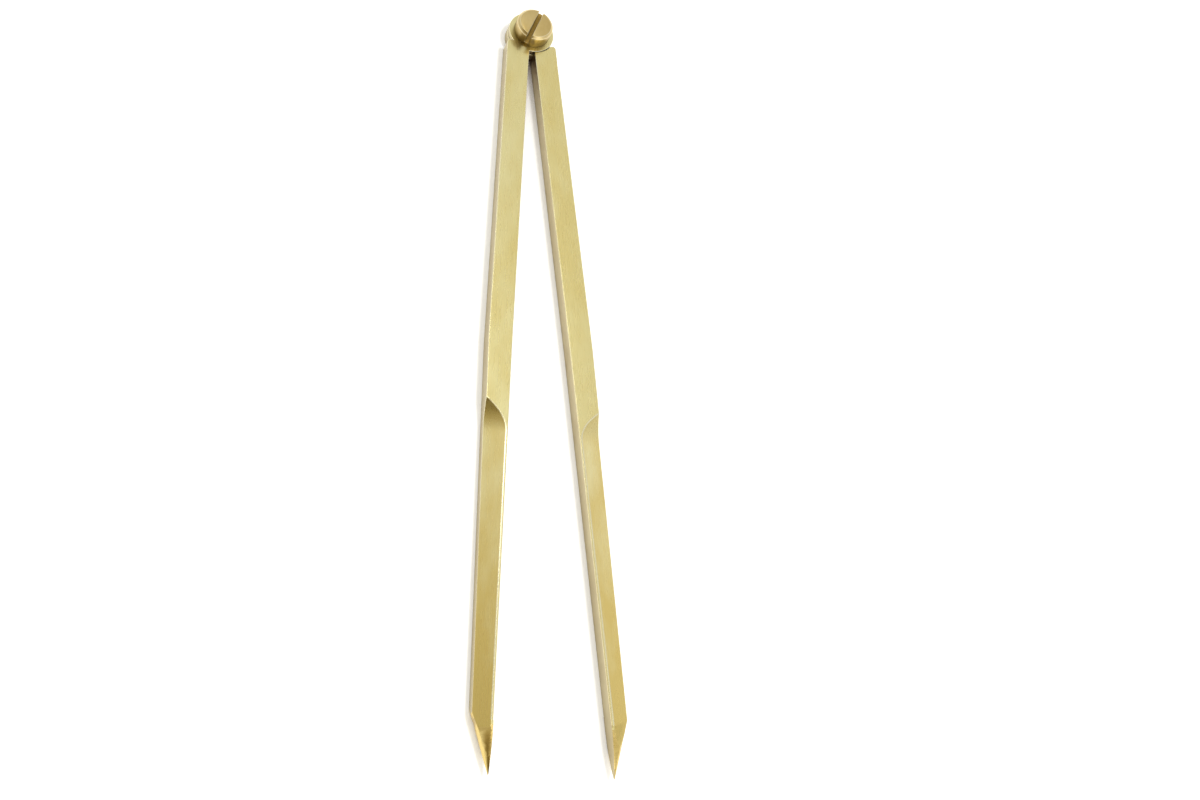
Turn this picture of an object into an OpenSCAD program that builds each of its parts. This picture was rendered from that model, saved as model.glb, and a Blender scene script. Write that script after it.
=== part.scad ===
// Straight chart divider: two brass legs hinged by a half-lap knuckle and one slotted screw.
// The divider lies on its back. The hinge axis is +Z through the origin, the back faces lie at z = 0
// and the points lie towards -Y.

/* [Overall] */
// Distance from the hinge axis to the points
leg_length = 197.5; // [180:0.5:220]
// Thickness of the legs, back face to front face
leg_depth = 4.5; // [4:0.1:6]
// Angle between the legs as they lie
opening = 8.3; // [2:0.1:60]

/* [Legs] */
// Width of the upper half of a leg
leg_width = 6; // [5:0.1:7]
// Width of a leg where its point begins
neck_width = 4.5; // [3.5:0.1:5]
// Distance from the hinge axis to the place where a leg begins to taper
taper_at = 92.5; // [80:0.5:105]
// Distance of an inner face from the middle plane at the shoulder, with the legs closed
crotch_gap = 0.3; // [0.1:0.05:0.6]
// Distance of an inner face from the middle plane where the taper begins, with the legs closed
waist_gap = 0.5; // [0.3:0.05:0.8]
// Distance of a point from the middle plane, with the legs closed
tip_gap = 0.05; // [0.05:0.01:0.2]
// Length over which the outer side is turned down to the point
point_length = 13; // [9:0.5:18]
// Length over which the front and the back are ground down to the point
grind_length = 10.5; // [8:0.5:18]
// Distance by which the grinding of the left leg's bevel begins below that of its front
grind_step = 0.7; // [0.4:0.1:3]
// Radius left on the end of a point
tip_radius = 0.15; // [0.1:0.01:0.4]

/* [Bevel] */
// Distance from the hinge axis to the place where the left leg's bevel reaches its full depth
left_bevel_at = 117; // [110:0.5:140]
// Distance from the hinge axis to the place where the right leg's bevel reaches its full depth
right_bevel_at = 117.5; // [110:0.5:140]
// Slope of the bevel below the front face
bevel_angle = 22; // [12:1:30]
// Width of the front face that is left along the inner edge
strip_width = 0.55; // [0.3:0.05:1.2]
// Radius of the curve in which the left leg's bevel runs out
left_cutter_radius = 18; // [8:1:25]
// Radius of the curve in which the right leg's bevel runs out
right_cutter_radius = 15; // [8:1:25]

/* [Knuckle] */
// Radius of the knuckle discs
knuckle_radius = 6.1; // [5.4:0.1:7]
// Thickness of the front knuckle disc; the rear one takes the rest of the depth, for the screw's thread
front_lap = 1.4; // [1:0.1:2]
// Distance from the hinge axis to the square end of a leg's bar
shoulder_at = 3.9; // [2.5:0.1:4.5]
// Size of the broken corner at the outer end of a shoulder
corner_break = 0.5; // [0.2:0.05:1]
// Gap between a knuckle disc and the hollow shoulder round it
shoulder_clearance = 0.2; // [0.1:0.05:0.4]
// Play between faces that slide on each other
face_clearance = 0.03; // [0.02:0.01:0.06]

/* [Washer] */
// Thickness of the friction washer
washer_thickness = 0.3; // [0.2:0.05:0.6]
// Distance of the friction washer's edge inside the edge of the knuckle discs
washer_inset = 0.8; // [0.4:0.1:1.6]
// Gap between the washer and the screw
washer_clearance = 0.1; // [0.05:0.01:0.2]

/* [Screw] */
// Diameter of the screw head
head_diameter = 9.7; // [8:0.1:11]
// Height of the screw head
head_height = 4.1; // [3:0.1:5]
// Size of the bevel round the top of the head
head_edge = 0.6; // [0.2:0.05:0.8]
// Height of the crown on the face of the head
head_crown = 0.15; // [0.05:0.05:0.4]
// Width of the driver slot
slot_width = 1.2; // [0.8:0.1:1.8]
// Depth of the driver slot at the screw's axis
slot_depth = 2.35; // [1:0.05:2.8]
// Slope of the slot's floor, which is deeper at the end towards the points
slot_slope = 9; // [0:1:12]
// Direction of the slot, clockwise from the +Y axis
slot_angle = 23; // [0:1:180]
// Diameter of the screw's shank
shank_diameter = 4.5; // [3.5:0.1:5.5]
// Radial play of the left leg on the shank
bore_clearance = 0.05; // [0.02:0.01:0.1]
// Radial play of the screw's end in the right leg
thread_clearance = 0.02; // [0.01:0.01:0.05]

/* [Hidden] */
$fn = 96;
// Room that a cutting shape takes beyond the surface it cuts
spare = 1;
// Depth by which the round of the cutter dips below its flat, so that the two cross cleanly
cutter_dip = 0.02;
// Slope at which the grinding of a point begins, so that it crosses the face cleanly
grind_lead = 2;

front_knuckle_bottom = leg_depth - front_lap;
washer_top = front_knuckle_bottom - face_clearance;
rear_knuckle_top = washer_top - washer_thickness;
head_bottom = leg_depth + face_clearance;
head_top = head_bottom + head_height;
head_radius = head_diameter / 2;
face_radius = head_radius - head_edge;
crown_radius = (pow(face_radius, 2) + pow(head_crown, 2)) / (2 * head_crown);
shank_radius = shank_diameter / 2;
washer_radius = knuckle_radius - washer_inset;
shoulder_radius = knuckle_radius + shoulder_clearance;
neck_at = leg_length - point_length;
grind_at = leg_length - grind_length;
bevel_grind_at = grind_at + grind_step;
// Depth that the grinding takes off a face at the end of a point
grind_drop = leg_depth / 2 - tip_radius;
// Lean of the lower inner face, seen from the front
lower_lean = atan((waist_gap - tip_gap) / (leg_length - taper_at));

// Radius of a grinding that begins at its lead and takes its whole depth over a length
function grind_radius(length) = (pow(length, 2) + pow(grind_drop, 2))
    / (2 * (grind_drop * cos(grind_lead) - length * sin(grind_lead)));

// Distance of the lower inner face from the middle plane, at a distance from the hinge axis
function lower_inner(at) = tip_gap + (leg_length - at) * tan(lower_lean);

neck_outer = lower_inner(neck_at) + neck_width;
waist_outer = waist_gap + leg_width;
// Fall of the tapered outer edge for each millimetre of length
outer_taper = (waist_outer - neck_outer) / (neck_at - taper_at);
tip_outer = neck_outer - point_length * outer_taper;
// Growth of the point's radius for each millimetre from its end
point_slope = (neck_outer - tip_gap - tip_radius) / point_length;
// Length at which the cone has grown past every corner of the bar
cone_length = (waist_outer + leg_depth) / point_slope;

// Outline of the right leg's bar, seen from the front with the legs closed
module bar_outline() {
    shoulder_outer = crotch_gap + leg_width;
    polygon([
        [crotch_gap, -shoulder_at],
        [shoulder_outer - corner_break, -shoulder_at],
        [shoulder_outer, -shoulder_at - corner_break],
        [waist_outer, -taper_at],
        [tip_outer, -leg_length],
        [tip_gap, -leg_length],
        [waist_gap, -taper_at]
    ]);
}

// Space that a point may fill: a cone round the inner edge at half depth, and all that lies above it
module point_envelope() {
    cone_top = leg_length - cone_length;
    box_side = 4 * (waist_outer + leg_depth);
    translate([tip_gap, -cone_top, leg_depth / 2]) {
        rotate([90, 0, 0])
            cylinder(h = cone_length, r1 = tip_radius + cone_length * point_slope, r2 = tip_radius);
        translate([-box_side / 2, 0, -box_side / 2])
            cube([box_side, leg_length, box_side]);
    }
}

// Shape that cuts the long bevel: a flat, begun by the round of the cutter
module bevel_cutter(bevel_at, cutter_radius) {
    reach = 2 * (waist_outer + leg_depth);
    translate([lower_inner(bevel_at) + strip_width, -bevel_at, leg_depth])
        rotate([0, 0, -lower_lean])
            rotate([0, bevel_angle, 0]) {
                translate([-reach, -leg_length, 0])
                    cube([2 * reach, leg_length, reach]);
                translate([-reach, 0, cutter_radius])
                    rotate([0, 90, 0])
                        cylinder(h = 2 * reach, r = cutter_radius + cutter_dip);
            }
}

// What grinding takes off a face that lies at z = 0, from the origin on towards -Y
module grind_cutter(length) {
    reach = 2 * (waist_outer + leg_depth);
    radius = grind_radius(length);
    lead = radius * sin(grind_lead);
    difference() {
        translate([-reach, -2 * length, -leg_depth])
            cube([2 * reach, 2 * length + lead, leg_depth + reach]);
        translate([-reach - spare, lead, -radius * cos(grind_lead)])
            rotate([0, 90, 0])
                cylinder(h = 2 * (reach + spare), r = radius);
    }
}

// Right leg's bar with its bevel and point, legs closed; the bevel can be ground down with the front
module bar(bevel_at, cutter_radius, bevel_ground) {
    difference() {
        intersection() {
            linear_extrude(leg_depth) bar_outline();
            point_envelope();
        }
        bevel_cutter(bevel_at, cutter_radius);
        translate([0, -grind_at, leg_depth])
            grind_cutter(grind_length);
        translate([0, -grind_at, 0])
            rotate([0, 180, 0])
                grind_cutter(grind_length);
        if (bevel_ground)
            translate([lower_inner(bevel_grind_at) + strip_width, -bevel_grind_at, leg_depth])
                rotate([0, 0, -lower_lean])
                    rotate([0, bevel_angle, 0])
                        grind_cutter(grind_length - grind_step);
    }
}

// Gives a bar a knuckle disc between two heights, and hollows the rest of its depth for the other disc
module knuckled(disc_bottom, disc_top, hollow_bottom, hollow_top, bore_radius) {
    difference() {
        union() {
            difference() {
                children();
                translate([0, 0, hollow_bottom])
                    cylinder(h = hollow_top - hollow_bottom, r = shoulder_radius);
            }
            translate([0, 0, disc_bottom])
                cylinder(h = disc_top - disc_bottom, r = knuckle_radius);
        }
        translate([0, 0, -spare])
            cylinder(h = leg_depth + 2 * spare, r = bore_radius);
    }
}

module left_leg() {
    color("#d2bf80")
        rotate([0, 0, -opening / 2])
            mirror([1, 0, 0])
                knuckled(front_knuckle_bottom, leg_depth, -spare, front_knuckle_bottom,
                         shank_radius + bore_clearance)
                    bar(left_bevel_at, left_cutter_radius, true);
}

module right_leg() {
    color("#d8c684")
        rotate([0, 0, opening / 2])
            knuckled(0, rear_knuckle_top, rear_knuckle_top, leg_depth + spare,
                     shank_radius + thread_clearance)
                bar(right_bevel_at, right_cutter_radius, false);
}

module pivot_screw() {
    edge_bottom = head_top - head_crown - head_edge;
    edge_rise = head_edge + 2 * head_crown;
    color("#c2a35c")
        difference() {
            intersection() {
                union() {
                    cylinder(h = head_bottom + spare, r = shank_radius);
                    translate([0, 0, head_bottom])
                        cylinder(h = edge_bottom - head_bottom, r = head_radius);
                    translate([0, 0, edge_bottom])
                        cylinder(h = edge_rise, r1 = head_radius, r2 = head_radius - edge_rise);
                }
                translate([0, 0, head_top - crown_radius])
                    sphere(r = crown_radius, $fn = 4 * $fn);
            }
            translate([0, 0, head_top - slot_depth])
                rotate([slot_slope, 0, -slot_angle])
                    translate([-slot_width / 2, -head_diameter, 0])
                        cube([slot_width, 2 * head_diameter, head_height]);
        }
}

module friction_washer() {
    color("#8a6f3c")
        translate([0, 0, rear_knuckle_top])
            difference() {
                cylinder(h = washer_thickness, r = washer_radius);
                translate([0, 0, -spare])
                    cylinder(h = washer_thickness + 2 * spare, r = shank_radius + washer_clearance);
            }
}

left_leg();
right_leg();
pivot_screw();
friction_washer();
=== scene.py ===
"""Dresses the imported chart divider: two brushed brass legs, a slotted screw and a bronze washer.

All places are in metres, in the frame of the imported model. The divider lies on its back, the hinge
axis is +Z through the origin and the points lie towards -Y.
"""
import logging
import math
from dataclasses import dataclass
from enum import Enum

import bmesh
import bpy
from mathutils import Matrix, Vector


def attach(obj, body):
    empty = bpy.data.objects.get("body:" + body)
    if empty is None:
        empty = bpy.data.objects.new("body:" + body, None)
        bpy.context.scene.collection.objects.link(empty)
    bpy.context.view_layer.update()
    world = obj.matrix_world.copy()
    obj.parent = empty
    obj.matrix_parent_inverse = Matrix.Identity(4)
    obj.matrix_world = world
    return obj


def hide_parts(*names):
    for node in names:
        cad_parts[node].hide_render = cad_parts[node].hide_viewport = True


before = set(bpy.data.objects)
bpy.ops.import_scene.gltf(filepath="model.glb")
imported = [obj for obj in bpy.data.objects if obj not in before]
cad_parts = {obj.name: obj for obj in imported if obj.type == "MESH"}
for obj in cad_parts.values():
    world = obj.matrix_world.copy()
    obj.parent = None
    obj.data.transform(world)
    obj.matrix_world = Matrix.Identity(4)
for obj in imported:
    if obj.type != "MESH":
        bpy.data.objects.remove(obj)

MM = 0.001
MM_PER_METRE = 1000
WEAR = "edge_wear"
SKY_SAMPLES = 8

# Turn of either leg from the middle line, as the divider lies, in degrees.
HALF_OPENING = 4.15

# The noise values between which a tool line goes from dark to light, what its dark part does to the
# colour and the roughness, and its depth.
LINE_NOISE = (0.25, 0.75)
LINE_SHADE = 0.98
LINE_ROUGHNESS = 0.02
LINE_DEPTH = 0.02 * MM

# The noise values between which a patch yellows, its stretch, and how far a patch or the lower part of
# a leg yellows.
PATCH_NOISE = (0.36, 0.66)
PATCH_STRETCH = (1.6, 0.7, 1.6)
YELLOWING = 0.7

# What handling does to the roughness of a worn edge.
RUBBED = -0.06

log = logging.getLogger("chart_divider")


def linear(code: str) -> tuple[float, float, float, float]:
    """Turns an sRGB hex colour into linear light.

    Args:
        code: A colour such as "#d8c684".

    Returns:
        Linear red, green and blue, and an alpha of 1.
    """
    parts = [int(code[i:i + 2], 16) / 255 for i in (1, 3, 5)]
    red, green, blue = (c / 12.92 if c <= 0.04045 else ((c + 0.055) / 1.055) ** 2.4 for c in parts)
    return red, green, blue, 1.0


def add_node(tree: bpy.types.NodeTree, kind: str, inputs: dict[str | int, object] | None = None,
             **settings) -> bpy.types.Node:
    """Adds a node, with its settings and with its inputs filled or linked.

    Args:
        tree: The node tree that the node goes into.
        kind: Blender's name for the kind of node.
        inputs: A value, or an output to link, for each input by name or place.
        **settings: Properties of the node itself.

    Returns:
        The new node.
    """
    made = tree.nodes.new(kind)
    for name, value in settings.items():
        setattr(made, name, value)
    for key, value in (inputs or {}).items():
        if isinstance(value, bpy.types.NodeSocket):
            tree.links.new(value, made.inputs[key])
        else:
            made.inputs[key].default_value = value
    return made


def new_material(name: str) -> bpy.types.Material:
    """Returns a material with an empty node tree."""
    material = bpy.data.materials.new(name)
    material.use_nodes = True
    material.node_tree.nodes.clear()
    return material


def add_object(name: str, bm: bmesh.types.BMesh) -> bpy.types.Object:
    """Puts a finished mesh into the scene.

    Args:
        name: Name of the object and of its mesh.
        bm: The mesh, which is freed.

    Returns:
        The object.
    """
    mesh = bpy.data.meshes.new(name)
    bm.to_mesh(mesh)
    bm.free()
    made = bpy.data.objects.new(name, mesh)
    bpy.context.scene.collection.objects.link(made)
    return made


class Grain(Enum):
    """The way in which a tool left its lines in the metal."""

    ALONG = "brushed along the leg"
    ACROSS = "ground across the point"
    ROUND = "turned round the hinge axis"


class LegSurface(Enum):
    """The surfaces of a leg, by the material slot of their finish."""

    FRONT = 0
    POINT = 1
    SIDE = 2
    BEVEL = 3


class ScrewSurface(Enum):
    """The surfaces of the screw, by the material slot of their finish."""

    TURNED = 0
    SLOT = 1
    END = 2


@dataclass(frozen=True)
class MetalFinish:
    """A metal surface with tool lines, paler and darker patches, worn edges, and painted shade in its corners
    and at its foot.

    Attributes:
        name: The metal and how its surface was made.
        clean: Colour of the clean metal.
        aged: Colour of the patches that have yellowed.
        worn: Colour of the edges that handling keeps bright.
        painted_shade: Colour of the shade that is painted into corners and at the foot of a piece.
        grain: The way in which the tool lines run.
        line_width: Spacing of the tool lines, in millimetres.
        line_length: Length of a tool line, in millimetres.
        patch: Size of the patches, in millimetres.
        roughness: Roughness of the clean metal.
        depth: Strength of the tool lines.
        reach: Distance over which the painted shade reaches out of a corner, in millimetres.
        shut: Share of open sky at which a corner is wholly painted with shade.
        open: Share of open sky from which no shade is painted.
        foot: Heights between which the painted shade at the foot of a piece fades out, in millimetres.
        yellowed: Distances from the hinge axis between which the metal yellows, in millimetres.
        spread: How far the brush spreads a reflection across the leg, from 0 to 1.
    """

    name: str
    clean: str
    aged: str
    worn: str
    painted_shade: str
    grain: Grain
    line_width: float
    line_length: float
    patch: float
    roughness: float
    depth: float
    reach: float
    shut: float
    open: float
    foot: tuple[float, float] = (-2.0, -1.0)
    yellowed: tuple[float, float] = (300.0, 400.0)
    spread: float = 0.0

    def lines(self, tree: bpy.types.NodeTree, place: bpy.types.NodeSocket) -> bpy.types.NodeSocket:
        """Draws the tool lines.

        Args:
            tree: The material's node tree.
            place: Place on the surface, in millimetres, with the leg along Y.

        Returns:
            A noise that runs in lines.
        """
        fine, long = 1 / self.line_width, 1 / self.line_length
        if self.grain is Grain.ROUND:
            flat = add_node(tree, "ShaderNodeVectorMath", {0: place, 1: (1, 1, 0)}, operation="MULTIPLY")
            radius = add_node(tree, "ShaderNodeVectorMath", {0: flat.outputs[0]}, operation="LENGTH")
            height = add_node(tree, "ShaderNodeSeparateXYZ", {0: place})
            place = add_node(tree, "ShaderNodeCombineXYZ",
                             {0: radius.outputs["Value"], 2: height.outputs["Z"]}).outputs[0]
        scale = (long, fine, long) if self.grain is Grain.ACROSS else (fine, long, fine)
        stretched = add_node(tree, "ShaderNodeMapping", {"Vector": place, "Scale": scale})
        noise = add_node(tree, "ShaderNodeTexNoise",
                         {"Vector": stretched.outputs[0], "Scale": 1.0, "Detail": 3.0, "Roughness": 0.6})
        return noise.outputs["Fac"]

    def metal(self, tree: bpy.types.NodeTree, place: bpy.types.NodeSocket) -> bpy.types.NodeSocket:
        """Colours the clean metal, with the patches and the stretch that have yellowed.

        Args:
            tree: The material's node tree.
            place: Place on the surface, in millimetres, with the leg along Y.

        Returns:
            The colour.
        """
        drift = add_node(tree, "ShaderNodeMapping", {"Vector": place, "Scale": PATCH_STRETCH})
        patch = add_node(tree, "ShaderNodeTexNoise", {
            "Vector": drift.outputs[0], "Scale": 1 / self.patch, "Detail": 4.0, "Roughness": 0.55})
        patchy = add_node(tree, "ShaderNodeMapRange", {
            "Value": patch.outputs["Fac"], "From Min": PATCH_NOISE[0], "From Max": PATCH_NOISE[1],
            "To Max": YELLOWING})
        axes = add_node(tree, "ShaderNodeSeparateXYZ", {0: place})
        below = add_node(tree, "ShaderNodeMapRange", {
            "Value": axes.outputs["Y"], "From Min": -self.yellowed[0], "From Max": -self.yellowed[1],
            "To Max": YELLOWING})
        yellow = add_node(tree, "ShaderNodeMath", {
            0: patchy.outputs[0], 1: below.outputs[0]}, operation="ADD", use_clamp=True)
        return add_node(tree, "ShaderNodeMix", {
            "Factor": yellow.outputs[0], "A": linear(self.clean), "B": linear(self.aged)},
            data_type="RGBA").outputs["Result"]

    def unshaded(self, tree: bpy.types.NodeTree, place: bpy.types.NodeSocket) -> bpy.types.NodeSocket:
        """Tells the open metal from the corners and the foot of a piece, where shade is painted.

        Args:
            tree: The material's node tree.
            place: Place on the surface, in millimetres.

        Returns:
            A value from 0 for wholly painted shade to 1 for none.
        """
        sky = add_node(tree, "ShaderNodeAmbientOcclusion", {"Distance": self.reach * MM}, samples=SKY_SAMPLES)
        corner = add_node(tree, "ShaderNodeMapRange", {
            "Value": sky.outputs["AO"], "From Min": self.shut, "From Max": self.open})
        axes = add_node(tree, "ShaderNodeSeparateXYZ", {0: place})
        above = add_node(tree, "ShaderNodeMapRange", {
            "Value": axes.outputs["Z"], "From Min": self.foot[0], "From Max": self.foot[1]})
        return add_node(tree, "ShaderNodeMath", {
            0: corner.outputs[0], 1: above.outputs[0]}, operation="MINIMUM").outputs[0]

    def dullness(self, tree: bpy.types.NodeTree, lines: bpy.types.NodeSocket,
                 wear: bpy.types.NodeSocket) -> bpy.types.NodeSocket:
        """Makes the tool lines a little rougher or smoother and the worn edges smoother.

        Args:
            tree: The material's node tree.
            lines: The tool lines.
            wear: Wear of the edges, from 0 to 1.

        Returns:
            The roughness.
        """
        lined = add_node(tree, "ShaderNodeMapRange", {
            "Value": lines, "From Min": LINE_NOISE[0], "From Max": LINE_NOISE[1],
            "To Min": self.roughness - LINE_ROUGHNESS, "To Max": self.roughness + LINE_ROUGHNESS})
        rubbed = add_node(tree, "ShaderNodeMapRange", {"Value": wear, "To Min": 0.0, "To Max": RUBBED})
        return add_node(tree, "ShaderNodeMath", {
            0: lined.outputs[0], 1: rubbed.outputs[0]}, operation="ADD").outputs[0]

    def make(self, turn: float = 0.0) -> bpy.types.Material:
        """Makes the material.

        Args:
            turn: Turn about Z that brings the piece's length to the Y axis, in radians.

        Returns:
            The material, which reads Object coordinates and the piece's wear attribute.
        """
        material = new_material(self.name)
        tree = material.node_tree
        spot = add_node(tree, "ShaderNodeTexCoord")
        place = add_node(tree, "ShaderNodeMapping", {
            "Vector": spot.outputs["Object"], "Rotation": (0, 0, turn),
            "Scale": (MM_PER_METRE, MM_PER_METRE, MM_PER_METRE)}).outputs[0]
        lines = self.lines(tree, place)
        wear = add_node(tree, "ShaderNodeAttribute", attribute_name=WEAR).outputs["Fac"]
        shade = add_node(tree, "ShaderNodeMapRange", {
            "Value": lines, "From Min": LINE_NOISE[0], "From Max": LINE_NOISE[1],
            "To Min": LINE_SHADE, "To Max": 1.0})
        lined = add_node(tree, "ShaderNodeMix", {
            "Factor": 1.0, "A": self.metal(tree, place), "B": shade.outputs[0]},
            data_type="RGBA", blend_type="MULTIPLY")
        worn = add_node(tree, "ShaderNodeMix", {
            "Factor": wear, "A": lined.outputs["Result"], "B": linear(self.worn)}, data_type="RGBA")
        # Painted shade: the metal is mixed towards a dark colour in corners that little open sky reaches and
        # towards the foot of a piece.
        colour = add_node(tree, "ShaderNodeMix", {
            "Factor": self.unshaded(tree, place), "A": linear(self.painted_shade), "B": worn.outputs["Result"]},
            data_type="RGBA")
        bump = add_node(tree, "ShaderNodeBump", {
            "Height": lines, "Strength": self.depth, "Distance": LINE_DEPTH})
        over = Matrix.Rotation(-turn, 3, "Z") @ Vector((1, 0, 0))
        lay = add_node(tree, "ShaderNodeCombineXYZ", {0: over.x, 1: over.y})
        shader = add_node(tree, "ShaderNodeBsdfPrincipled", {
            "Base Color": colour.outputs["Result"], "Metallic": 1.0,
            "Roughness": self.dullness(tree, lines, wear), "Normal": bump.outputs[0],
            "Anisotropic": self.spread, "Tangent": lay.outputs[0]})
        add_node(tree, "ShaderNodeOutputMaterial", {"Surface": shader.outputs[0]})
        return material


@dataclass
class MetalPiece:
    """A piece with the shape of its CAD node, whose sharp edges are broken.

    Attributes:
        node: The CAD node that it stands for.
        name: The piece's own name.
        body: The CAD body that it moves with.
        slot: The record's material slot; not used.
        edge_break: Width of a broken edge along either face.
        sharp: Least angle of an edge that is broken, in degrees.
        soft: Angle of an edge up to which the shading runs on across it, in degrees.
        flat: Angle up to which neighbouring triangles make one flat face, in degrees.
        join: Distance up to which corners of the CAD mesh are one.
    """

    node: str
    name: str
    body: str
    slot: str
    edge_break: float = 0.12 * MM
    sharp: float = 20.0
    soft: float = 50.0
    flat: float = 0.05
    join: float = 0.001 * MM

    @property
    def turn(self) -> float:
        """Turn about Z that brings the piece's length to the Y axis, in radians."""
        return 0.0

    def merged(self) -> bmesh.types.BMesh:
        """Returns a copy of the node's triangles, merged, with each flat face whole."""
        bm = bmesh.new()
        bm.from_mesh(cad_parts[self.node].data)
        bmesh.ops.remove_doubles(bm, verts=bm.verts, dist=self.join)
        bmesh.ops.dissolve_limit(bm, angle_limit=math.radians(self.flat), verts=bm.verts, edges=bm.edges)
        return bm

    def break_edges(self, bm: bmesh.types.BMesh, edges: list[bmesh.types.BMEdge],
                    width: float) -> set[bmesh.types.BMFace]:
        """Bevels edges and marks the middle of each new face as worn.

        Args:
            bm: The piece's mesh.
            edges: The edges to break.
            width: Width of the broken edge along either face.

        Returns:
            The new faces.
        """
        made = bmesh.ops.bevel(bm, geom=edges, offset=width, offset_type="OFFSET", segments=2, profile=0.5,
                               affect="EDGES", clamp_overlap=False, loop_slide=True, material=-1)
        rounded = set(made["faces"])
        wear = bm.verts.layers.float.get(WEAR) or bm.verts.layers.float.new(WEAR)
        for vert in {v for face in rounded for v in face.verts}:
            vert[wear] = float(rounded.issuperset(vert.link_faces))
        bm.normal_update()
        return rounded

    def is_soft(self, edge: bmesh.types.BMEdge) -> bool:
        """Tells whether the shading runs on across an edge."""
        return edge.calc_face_angle(0.0) < math.radians(self.soft)

    def place(self, bm: bmesh.types.BMesh) -> bpy.types.Object:
        """Makes the finished mesh an object that rides on its body in place of its CAD node.

        Args:
            bm: The piece's mesh, which is freed.

        Returns:
            The object.
        """
        for face in bm.faces:
            face.smooth = True
        for edge in bm.edges:
            edge.smooth = self.is_soft(edge)
        piece = add_object(self.name, bm)
        level = piece.modifiers.new("flat_faces_stay_flat", "WEIGHTED_NORMAL")
        level.keep_sharp = True
        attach(piece, self.body)
        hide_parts(self.node)
        return piece

    def dress(self, piece: bpy.types.Object, finishes: dict[Enum, MetalFinish]) -> None:
        """Gives the piece its finishes.

        Args:
            piece: The piece's object.
            finishes: The finish of each surface.
        """
        for surface in sorted(finishes, key=lambda each: each.value):
            piece.data.materials.append(finishes[surface].make(self.turn))


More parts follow.
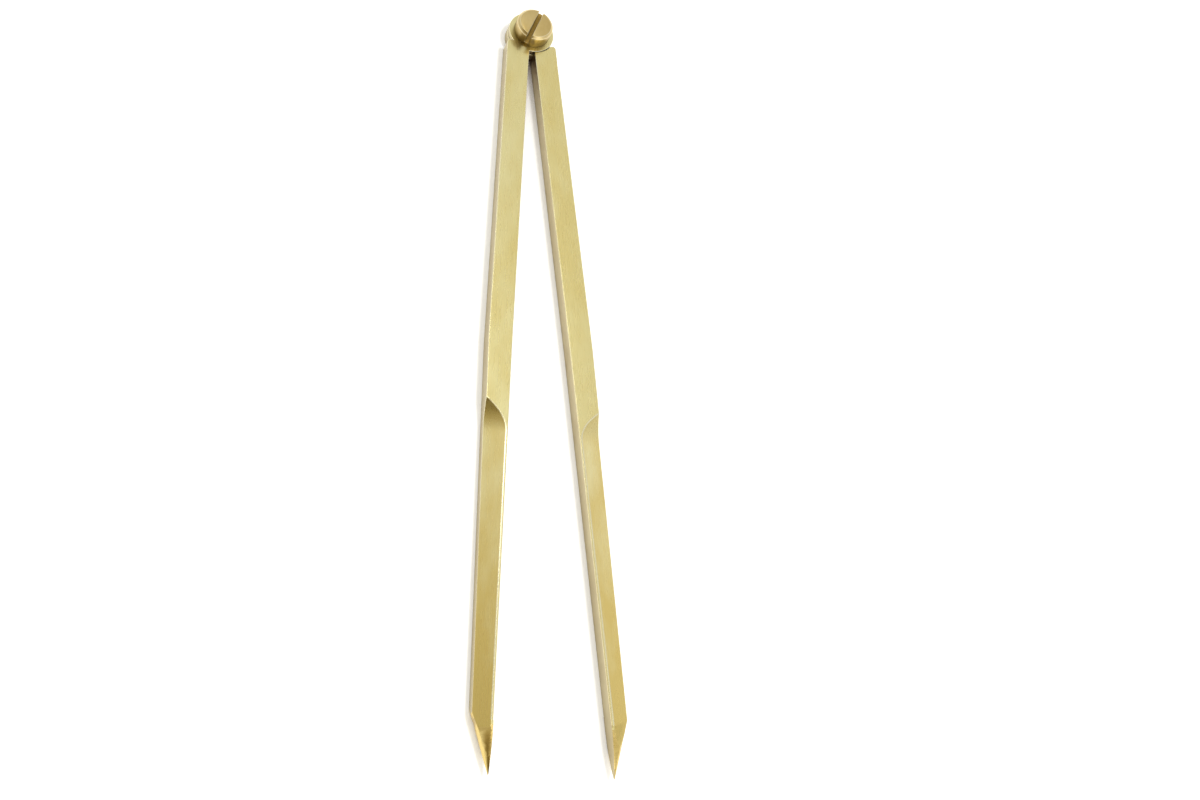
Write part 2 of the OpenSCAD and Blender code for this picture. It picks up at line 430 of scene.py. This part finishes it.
@dataclass
class Leg(MetalPiece):
    """One leg of the divider: a bar with a long bevel, a ground point and its half of the knuckle.

    Attributes:
        lean: Turn of the leg about the hinge axis, as it lies, in degrees.
        depth: Height of the front face above the back.
        ridge_break: Width of the rounding along the edges of the front face, along either face.
        ridge_from: Distance from the hinge axis at which the rounding of the front's edges begins.
        ridge_to: Distance from the hinge axis at which that rounding ends.
        tip_from: Distance from the hinge axis past which the edges of the back stay sharp.
        point_from: Distance from the hinge axis past which a sloping face belongs to the point.
        point_slope: Least share of a point's face that looks along the leg.
        turned_from: Distance from the hinge axis past which the outer side is turned.
        turned_share: Least share of the turned side's face that looks outwards.
        point_soft: Angle up to which the shading runs on onto the point, in degrees.
        spare: Play in telling where an edge lies.
        side_slope: Greatest share of a side's face that looks up or down.
        bevel_from: Distance from the hinge axis past which a sloping face belongs to the bevel.
        bevel_slope: Greatest share of the bevel's face that looks up.
    """

    lean: float = 0.0
    depth: float = 4.5 * MM
    ridge_break: float = 0.24 * MM
    ridge_from: float = 9 * MM
    ridge_to: float = 186 * MM
    tip_from: float = 183 * MM
    point_from: float = 170 * MM
    point_slope: float = 0.05
    turned_from: float = 185.5 * MM
    turned_share: float = 0.5
    point_soft: float = 8.0
    spare: float = 0.01 * MM
    side_slope: float = 0.35
    bevel_from: float = 100 * MM
    bevel_slope: float = 0.98

    @property
    def turn(self) -> float:
        """Turn about Z that brings the leg to the Y axis, in radians."""
        return -math.radians(self.lean)

    @property
    def along(self) -> Vector:
        """Direction from the hinge to the point."""
        return Matrix.Rotation(math.radians(self.lean), 3, "Z") @ Vector((0, -1, 0))

    def on_point(self, face: bmesh.types.BMFace) -> bool:
        """Tells whether a face belongs to the point."""
        place = face.calc_center_median().dot(self.along)
        outer = Vector((0, 0, 1)).cross(self.along) * math.copysign(1, self.lean)
        turned = place > self.turned_from and face.normal.dot(outer) > self.turned_share
        return turned or (place > self.point_from and face.normal.dot(self.along) > self.point_slope)

    def reaches(self, edge: bmesh.types.BMEdge, height: float, start: float, end: float) -> bool:
        """Tells whether an edge of the front or the back lies between two distances from the hinge axis.

        Args:
            edge: An edge of the leg.
            height: Height of the front or the back.
            start: The smaller distance.
            end: The greater distance.

        Returns:
            True if the whole edge does.
        """
        return all(abs(v.co.z - height) < self.spare
                   and start - self.spare < v.co.dot(self.along) < end + self.spare for v in edge.verts)

    def on_ridge(self, edge: bmesh.types.BMEdge) -> bool:
        """Tells whether an edge belongs to the ridges along the front."""
        return self.reaches(edge, self.depth, self.ridge_from, self.ridge_to)

    def sharp_edges(self, bm: bmesh.types.BMesh) -> list[bmesh.types.BMEdge]:
        """Returns the edges that are sharp enough to break and that aren't edges of the point."""
        return [e for e in bm.edges if e.calc_face_angle(0.0) > math.radians(self.sharp)
                and not any(self.on_point(f) for f in e.link_faces)]

    def on_tip(self, edge: bmesh.types.BMEdge) -> bool:
        """Tells whether an edge of the front or the back lies so near the point that it stays sharp."""
        return (self.reaches(edge, 0.0, self.tip_from, math.inf)
                or self.reaches(edge, self.depth, self.ridge_to, math.inf))

    def part_edges(self, bm: bmesh.types.BMesh, height: float, place: float) -> None:
        """Parts the long edges of the front or the back where their rounding begins or ends.

        Args:
            bm: The leg's mesh.
            height: Height of the front or the back.
            place: Distance of the cut from the hinge axis.
        """
        for edge in self.sharp_edges(bm):
            near, far = sorted(edge.verts, key=lambda v: v.co.dot(self.along))
            start, end = near.co.dot(self.along), far.co.dot(self.along)
            level = all(abs(v.co.z - height) < self.spare for v in edge.verts)
            if level and start < place < end:
                bmesh.utils.edge_split(edge, near, (place - start) / (end - start))

    def surface_of(self, face: bmesh.types.BMFace) -> LegSurface:
        """Tells which surface of the leg a face belongs to.

        Args:
            face: A face of the finished leg.

        Returns:
            The surface, by which the face gets its finish.
        """
        if self.on_point(face):
            return LegSurface.POINT
        if abs(face.normal.z) < self.side_slope:
            return LegSurface.SIDE
        beyond = face.calc_center_median().dot(self.along) > self.bevel_from
        if beyond and 0 < face.normal.z < self.bevel_slope:
            return LegSurface.BEVEL
        return LegSurface.FRONT

    def is_soft(self, edge: bmesh.types.BMEdge) -> bool:
        """Tells whether the shading runs on across an edge, as it does not onto the faces of the point."""
        onto = len({self.on_point(f) for f in edge.link_faces}) > 1
        creased = edge.calc_face_angle(0.0) > math.radians(self.point_soft)
        return super().is_soft(edge) and not (onto and creased)

    def build(self) -> bpy.types.Object:
        """Returns the leg with its ridges rounded, its other edges broken and its point left sharp."""
        bm = self.merged()
        bm.normal_update()
        self.part_edges(bm, self.depth, self.ridge_from)
        self.part_edges(bm, self.depth, self.ridge_to)
        self.part_edges(bm, 0.0, self.tip_from)
        ridges = [e for e in self.sharp_edges(bm) if self.on_ridge(e)]
        rounded = self.break_edges(bm, ridges, self.ridge_break)
        rest = [e for e in self.sharp_edges(bm) if rounded.isdisjoint(e.link_faces) and not self.on_tip(e)]
        self.break_edges(bm, rest, self.edge_break)
        for face in bm.faces:
            face.material_index = self.surface_of(face).value
        return self.place(bm)


@dataclass
class Screw(MetalPiece):
    """The slotted screw on which the left leg turns.

    Attributes:
        rub: How far handling keeps the bevel round the head bright, from 0 to 1.
        slot_half: Half the width of the slot, with a little to spare.
        slot_turn: Direction of the slot, clockwise from the Y axis, in degrees.
        slot_above: Height of the foot of the head, which the slot lies above.
        end_below: Height below which a face belongs to the end of the shank, flush with the back.
        bevel_slope: Share of the bevel round the head that looks up.
        bevel_spare: Play in telling that bevel from other faces.
    """

    rub: float = 0.2
    slot_half: float = 0.62 * MM
    slot_turn: float = 23.0
    slot_above: float = 4.6 * MM
    end_below: float = 0.3 * MM
    bevel_slope: float = math.sqrt(0.5)
    bevel_spare: float = 0.03

    def in_slot(self, face: bmesh.types.BMFace) -> bool:
        """Tells whether a face lies inside the slot."""
        across = Matrix.Rotation(-math.radians(self.slot_turn), 3, "Z") @ Vector((1, 0, 0))
        return all(abs(v.co.dot(across)) < self.slot_half and v.co.z > self.slot_above for v in face.verts)

    def surface_of(self, face: bmesh.types.BMFace) -> ScrewSurface:
        """Tells which surface of the screw a face belongs to."""
        if face.calc_center_median().z < self.end_below:
            return ScrewSurface.END
        return ScrewSurface.SLOT if self.in_slot(face) else ScrewSurface.TURNED

    def build(self) -> bpy.types.Object:
        """Returns the screw with its edges broken and the bevel round its head rubbed bright."""
        bm = self.merged()
        edges = [e for e in bm.edges if e.calc_face_angle(0.0) > math.radians(self.sharp)]
        self.break_edges(bm, edges, self.edge_break)
        wear = bm.verts.layers.float[WEAR]
        bevel = [f for f in bm.faces if abs(f.normal.z - self.bevel_slope) < self.bevel_spare]
        for vert in {v for face in bevel for v in face.verts}:
            vert[wear] = max(vert[wear], self.rub)
        for face in bm.faces:
            face.material_index = self.surface_of(face).value
        return self.place(bm)


@dataclass
class Washer:
    """The friction washer between the two halves of the knuckle, which keeps its CAD shape."""

    node: str = "friction_washer"

    def dress(self, finish: MetalFinish) -> None:
        """Gives the CAD node its finish."""
        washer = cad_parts[self.node]
        washer.data.materials.clear()
        washer.data.materials.append(finish.make())


@dataclass(frozen=True)
class Lamp:
    """A flat lamp that hangs over the table and faces straight down.

    Attributes:
        name: The lamp's name.
        place: Place of the lamp.
        sides: Width and length of the lamp.
        watts: Power of the lamp.
        in_metal: Whether the metal mirrors the lamp.
    """

    name: str
    place: tuple[float, float, float]
    sides: tuple[float, float]
    watts: float
    in_metal: bool = True

    def hang(self) -> None:
        """Hangs the lamp in the scene."""
        data = bpy.data.lights.new(self.name, "AREA")
        data.shape, data.energy = "RECTANGLE", self.watts
        data.size, data.size_y = self.sides
        lamp = bpy.data.objects.new(self.name, data)
        lamp.location = self.place
        lamp.visible_glossy = self.in_metal
        bpy.context.scene.collection.objects.link(lamp)


@dataclass
class Studio:
    """White paper on a table, in a pale room.

    Attributes:
        floor_side: Side of the sheet of paper.
        floor_drop: Depth of the paper's face below the backs of the legs.
        paper: Colour of the paper.
        gap: Colour of the painted shade on the paper in the narrow gap between the legs, brown like the light
            that the brass all round throws there.
        gap_reach: Distance over which the legs close the gap in.
        gap_sky: Shares of open sky at which the paper is wholly painted with that shade and free of it.
        lift: Light that the paper shows of itself to the camera and to the metal.
        camera_side: Direction of the side from which the picture is taken.
        room: Colour of the room by how far it lies towards that side, from 0 to 1.
        low: Brightness of the room near the table, as a multiple of the rest.
        low_heights: Heights, as shares of the way up, between which that brightness fades.
        window_side: Direction of the low window in front of the table.
        window_light: Brightness of the window.
        window_edge: How far a direction lies towards the window at its rim and at its middle.
    """

    floor_side: float = 6.0
    floor_drop: float = 0.02 * MM
    paper: str = "#f3f4f5"
    gap: str = "#8a6c44"
    gap_reach: float = 6 * MM
    gap_sky: tuple[float, float] = (0.12, 0.45)
    lift: float = 0.36
    camera_side: tuple[float, float, float] = (-0.315, -0.425, 0.848)
    room: tuple[tuple[float, str], ...] = (
        (0.0, "#e8e8e8"), (0.2, "#b8b6b0"), (0.32, "#ffffff"), (0.40, "#c2bfb5"), (0.48, "#dadad7"),
        (0.57, "#f6f6f2"), (0.66, "#d4d2cb"), (0.75, "#c6c1b0"), (0.84, "#b0a279"), (0.90, "#908050"),
        (0.95, "#75663a"), (1.0, "#54461f"))
    low: float = 1.2
    low_heights: tuple[float, float] = (0.25, 0.6)
    window_side: tuple[float, float, float] = (0.45, -0.80, 0.39)
    window_light: float = 0.7
    window_edge: tuple[float, float] = (0.86, 0.97)

    def build_floor(self) -> bpy.types.Object:
        """Returns the sheet of paper."""
        bm = bmesh.new()
        bmesh.ops.create_grid(bm, x_segments=1, y_segments=1, size=self.floor_side / 2,
                              matrix=Matrix.Translation((0, 0, -self.floor_drop)))
        floor = add_object("paper_floor", bm)
        return floor

    def dress_floor(self, floor: bpy.types.Object) -> None:
        """Gives the paper its white, which the camera and the metal see a little lifted, with painted shade
        in the narrow gap between the legs.
        """
        material = new_material("matt_white_paper")
        tree = material.node_tree
        ray = add_node(tree, "ShaderNodeLightPath")
        seen = add_node(tree, "ShaderNodeMath", {
            0: ray.outputs["Is Camera Ray"], 1: ray.outputs["Is Glossy Ray"]}, operation="MAXIMUM")
        lifted = add_node(tree, "ShaderNodeMath", {0: seen.outputs[0], 1: self.lift}, operation="MULTIPLY")
        # Painted shade: where the legs close the paper in, it turns brown and loses its lift.
        sky = add_node(tree, "ShaderNodeAmbientOcclusion", {"Distance": self.gap_reach}, samples=SKY_SAMPLES)
        clear = add_node(tree, "ShaderNodeMapRange", {
            "Value": sky.outputs["AO"], "From Min": self.gap_sky[0], "From Max": self.gap_sky[1]})
        white = add_node(tree, "ShaderNodeMix", {
            "Factor": clear.outputs[0], "A": linear(self.gap), "B": linear(self.paper)}, data_type="RGBA")
        matt = add_node(tree, "ShaderNodeBsdfDiffuse", {"Color": white.outputs["Result"]})
        level = add_node(tree, "ShaderNodeMath", {
            0: lifted.outputs[0], 1: clear.outputs[0]}, operation="MULTIPLY")
        glow = add_node(tree, "ShaderNodeEmission", {"Strength": level.outputs[0]})
        both = add_node(tree, "ShaderNodeAddShader", {0: matt.outputs[0], 1: glow.outputs[0]})
        add_node(tree, "ShaderNodeOutputMaterial", {"Surface": both.outputs[0]})
        floor.data.materials.append(material)

    def light_room(self) -> None:
        """Lights the scene from the room, which is brighter near the table and warm and dim by the camera."""
        world = bpy.data.worlds.new("pale_room")
        bpy.context.scene.world = world
        world.use_nodes = True
        tree = world.node_tree
        tree.nodes.clear()
        way = add_node(tree, "ShaderNodeTexCoord").outputs["Generated"]
        side = add_node(tree, "ShaderNodeVectorMath", {0: way, 1: self.camera_side}, operation="DOT_PRODUCT")
        colour = add_node(tree, "ShaderNodeValToRGB", {"Fac": side.outputs["Value"]})
        stops = colour.color_ramp.elements
        while len(stops) < len(self.room):
            stops.new(0.5)
        for stop, (place, code) in zip(stops, self.room):
            stop.position, stop.color = place, linear(code)
        height = add_node(tree, "ShaderNodeSeparateXYZ", {0: way})
        level = add_node(tree, "ShaderNodeMapRange", {
            "Value": height.outputs["Z"], "From Min": self.low_heights[0], "From Max": self.low_heights[1],
            "To Min": self.low, "To Max": 1.0})
        front = add_node(tree, "ShaderNodeVectorMath", {
            0: way, 1: Vector(self.window_side).normalized()}, operation="DOT_PRODUCT")
        window = add_node(tree, "ShaderNodeMapRange", {
            "Value": front.outputs["Value"], "From Min": self.window_edge[0],
            "From Max": self.window_edge[1], "To Min": 0.0, "To Max": self.window_light})
        air = add_node(tree, "ShaderNodeBackground", {
            "Color": colour.outputs["Color"], "Strength": level.outputs[0]})
        pane = add_node(tree, "ShaderNodeBackground", {"Color": (1, 1, 1, 1), "Strength": window.outputs[0]})
        both = add_node(tree, "ShaderNodeAddShader", {0: air.outputs[0], 1: pane.outputs[0]})
        add_node(tree, "ShaderNodeOutputWorld", {"Surface": both.outputs[0]})


@dataclass
class PhotoCamera:
    """The camera where the photograph was taken from.

    Attributes:
        place: Place of the lens.
        aim: Point of the table in the middle of the picture.
        roll: Turn of the camera about its line of sight, in degrees.
        lens: Focal length, in millimetres.
        sensor: Width of the sensor, in millimetres.
        depths: Distances from the lens between which the camera sees.
    """

    place: tuple[float, float, float] = (-0.11665, -0.28258, 0.35697)
    aim: tuple[float, float, float] = (0.01608, -0.10362, 0.0)
    roll: float = 38.462
    lens: float = 51.753
    sensor: float = 36.0
    depths: tuple[float, float] = (0.01, 20.0)

    def build(self) -> None:
        """Makes the camera and gives it to the scene."""
        data = bpy.data.cameras.new("photo_camera")
        data.lens, data.sensor_width = self.lens, self.sensor
        data.clip_start, data.clip_end = self.depths
        camera = bpy.data.objects.new("photo_camera", data)
        sight = (Vector(self.aim) - Vector(self.place)).to_track_quat("-Z", "Y").to_matrix()
        turned = sight @ Matrix.Rotation(math.radians(self.roll), 3, "Z")
        camera.matrix_world = Matrix.Translation(self.place) @ turned.to_4x4()
        bpy.context.scene.collection.objects.link(camera)
        bpy.context.scene.camera = camera


# Half-hard brass bar, drawn and then brushed along its length: pale yellow with a satin sheen,
# faint lines along the leg and cloudy patches. Real brush lines are about 0.05 mm apart; they are
# drawn 0.3 mm apart here, because finer ones don't show.
LEG_BRASS = MetalFinish(
    name="leg_brass_brushed_along", clean="#f3e8ac", aged="#e6d286", worn="#fffadc", painted_shade="#3a2708",
    grain=Grain.ALONG, line_width=0.3, line_length=16.0, patch=14.0, roughness=0.28, depth=0.04,
    reach=0.8, shut=0.0, open=0.3, spread=0.5)

# The same brass milled to the long bevel and brushed again: a deeper yellow with fainter lines. The
# brush lines are drawn 0.3 mm apart here too.
BEVEL_BRASS = MetalFinish(
    name="bevel_brass_milled", clean="#f1e5ac", aged="#e2ca7c", worn="#fffadc", painted_shade="#3a2708",
    grain=Grain.ALONG, line_width=0.3, line_length=16.0, patch=12.0, roughness=0.28, depth=0.04,
    reach=0.8, shut=0.0, open=0.3, yellowed=(120.0, 165.0), spread=0.5)

# The same brass ground to a point: yellower, with marks across the point. The marks of a fine stone
# are about 0.08 mm apart; they are drawn 0.3 mm apart here.
POINT_BRASS = MetalFinish(
    name="point_brass_ground", clean="#ecd490", aged="#dcc070", worn="#fff2c0", painted_shade="#3a2708",
    grain=Grain.ACROSS, line_width=0.3, line_length=6.0, patch=9.0, roughness=0.28, depth=0.05,
    reach=1.0, shut=0.0, open=0.3, spread=0.2)

# The sides of the drawn bar: greyer, darker and duller than the front, with faint drawing lines along
# the leg, and painted shade in their corners, as between the legs below the knuckle. The lines of a
# draw plate are about 0.1 mm apart; they are drawn 0.3 mm apart here.
SIDE_BRASS = MetalFinish(
    name="side_brass_drawn", clean="#c8bb96", aged="#b9a87e", worn="#fffadc", painted_shade="#4e300c",
    grain=Grain.ALONG, line_width=0.3, line_length=20.0, patch=10.0, roughness=0.36, depth=0.15,
    reach=2.0, shut=0.15, open=0.7)

# Free-cutting brass turned and faced on a lathe: a warmer, redder yellow than the bar, with fine
# rings round the head. The rings of such a cut are about 0.08 mm apart; they are drawn at 0.25 mm.
# Its foot values paint shade on the head's side, darker towards the foot of the head, and its corners get
# painted shade too.
SCREW_BRASS = MetalFinish(
    name="screw_brass_turned", clean="#dec68a", aged="#cfb36e", worn="#fbeec6", painted_shade="#3a2a0c",
    grain=Grain.ROUND, line_width=0.25, line_length=9.0, patch=5.0, roughness=0.34, depth=0.2,
    reach=2.2, shut=0.0, open=0.7, foot=(3.2, 8.4))

# The slot of that screw, cut by a slitting saw: brown, darker and duller than the head, with painted
# shade deep in the slot and fine lines along its walls. The lines of such a saw are about 0.1 mm
# apart; they are drawn at 0.25 mm.
SLOT_BRASS = MetalFinish(
    name="slot_brass_sawn", clean="#c0a058", aged="#a98a44", worn="#efdfae", painted_shade="#2c1c06",
    grain=Grain.ALONG, line_width=0.25, line_length=4.0, patch=3.0, roughness=0.42, depth=0.3,
    reach=2.0, shut=0.0, open=0.6)

# The end of that screw, filed flush with the back of the leg and brushed with it: the screw's redder
# yellow with the leg's lines. The file's lines are about 0.1 mm apart; they are drawn at 0.3 mm.
END_BRASS = MetalFinish(
    name="screw_end_brass_filed", clean="#e6cf90", aged="#d8bc74", worn="#fbeec6", painted_shade="#3a2708",
    grain=Grain.ALONG, line_width=0.3, line_length=8.0, patch=4.0, roughness=0.3, depth=0.1,
    reach=0.3, shut=0.0, open=0.3)

# Phosphor bronze strip, stamped to a ring and left dull: brown and darker than the brass.
WASHER_BRONZE = MetalFinish(
    name="washer_bronze_stamped", clean="#c79a62", aged="#a97c48", worn="#d8b27c", painted_shade="#2c1c06",
    grain=Grain.ALONG, line_width=0.3, line_length=5.0, patch=3.0, roughness=0.42, depth=0.3,
    reach=0.4, shut=0.08, open=0.42)

LEG_FINISHES = {LegSurface.FRONT: LEG_BRASS, LegSurface.POINT: POINT_BRASS,
                LegSurface.SIDE: SIDE_BRASS, LegSurface.BEVEL: BEVEL_BRASS}
SCREW_FINISHES = {ScrewSurface.TURNED: SCREW_BRASS, ScrewSurface.SLOT: SLOT_BRASS,
                  ScrewSurface.END: END_BRASS}

# The softbox shines in the edges that lean to the left, the lamp in front in the ground fronts of the
# points, and the spot in the points and in the strips beside the bevels. The lamp from the right
# casts the shadows, and shows on the paper only.
LAMPS = (
    Lamp("softbox", (-0.05, 0.36, 0.95), (0.24, 0.22), 0.5),
    Lamp("front_lamp", (0.33, -0.58, 0.85), (0.3, 0.3), 0.75),
    Lamp("spot", (0.1, -0.06, 1.0), (0.16, 0.16), 0.3),
    Lamp("lamp_from_right", (0.28, -0.06, 1.0), (0.16, 0.16), 4.2, in_metal=False))


def main() -> None:
    """Builds and dresses the divider, its table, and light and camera."""
    logging.basicConfig(level=logging.INFO, format="%(name)s: %(message)s")
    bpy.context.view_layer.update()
    bpy.context.scene.view_settings.view_transform = "Standard"
    PhotoCamera().build()
    parts = (
        (Leg("left_leg", "left_leg_brushed", "left_arm", "leg_brass", lean=-HALF_OPENING), LEG_FINISHES),
        (Leg("right_leg", "right_leg_brushed", "right_arm", "leg_brass", lean=HALF_OPENING), LEG_FINISHES),
        (Screw("pivot_screw", "pivot_screw_turned", "right_arm", "screw_brass"), SCREW_FINISHES))
    for part, finishes in parts:
        piece = part.build()
        part.dress(piece, finishes)
        log.info("%s has %d faces", piece.name, len(piece.data.polygons))
    washer = Washer()
    washer.dress(WASHER_BRONZE)
    log.info("%s keeps its shape", washer.node)
    studio = Studio()
    studio.dress_floor(studio.build_floor())
    studio.light_room()
    for lamp in LAMPS:
        lamp.hang()


if __name__ == "__main__":
    main()
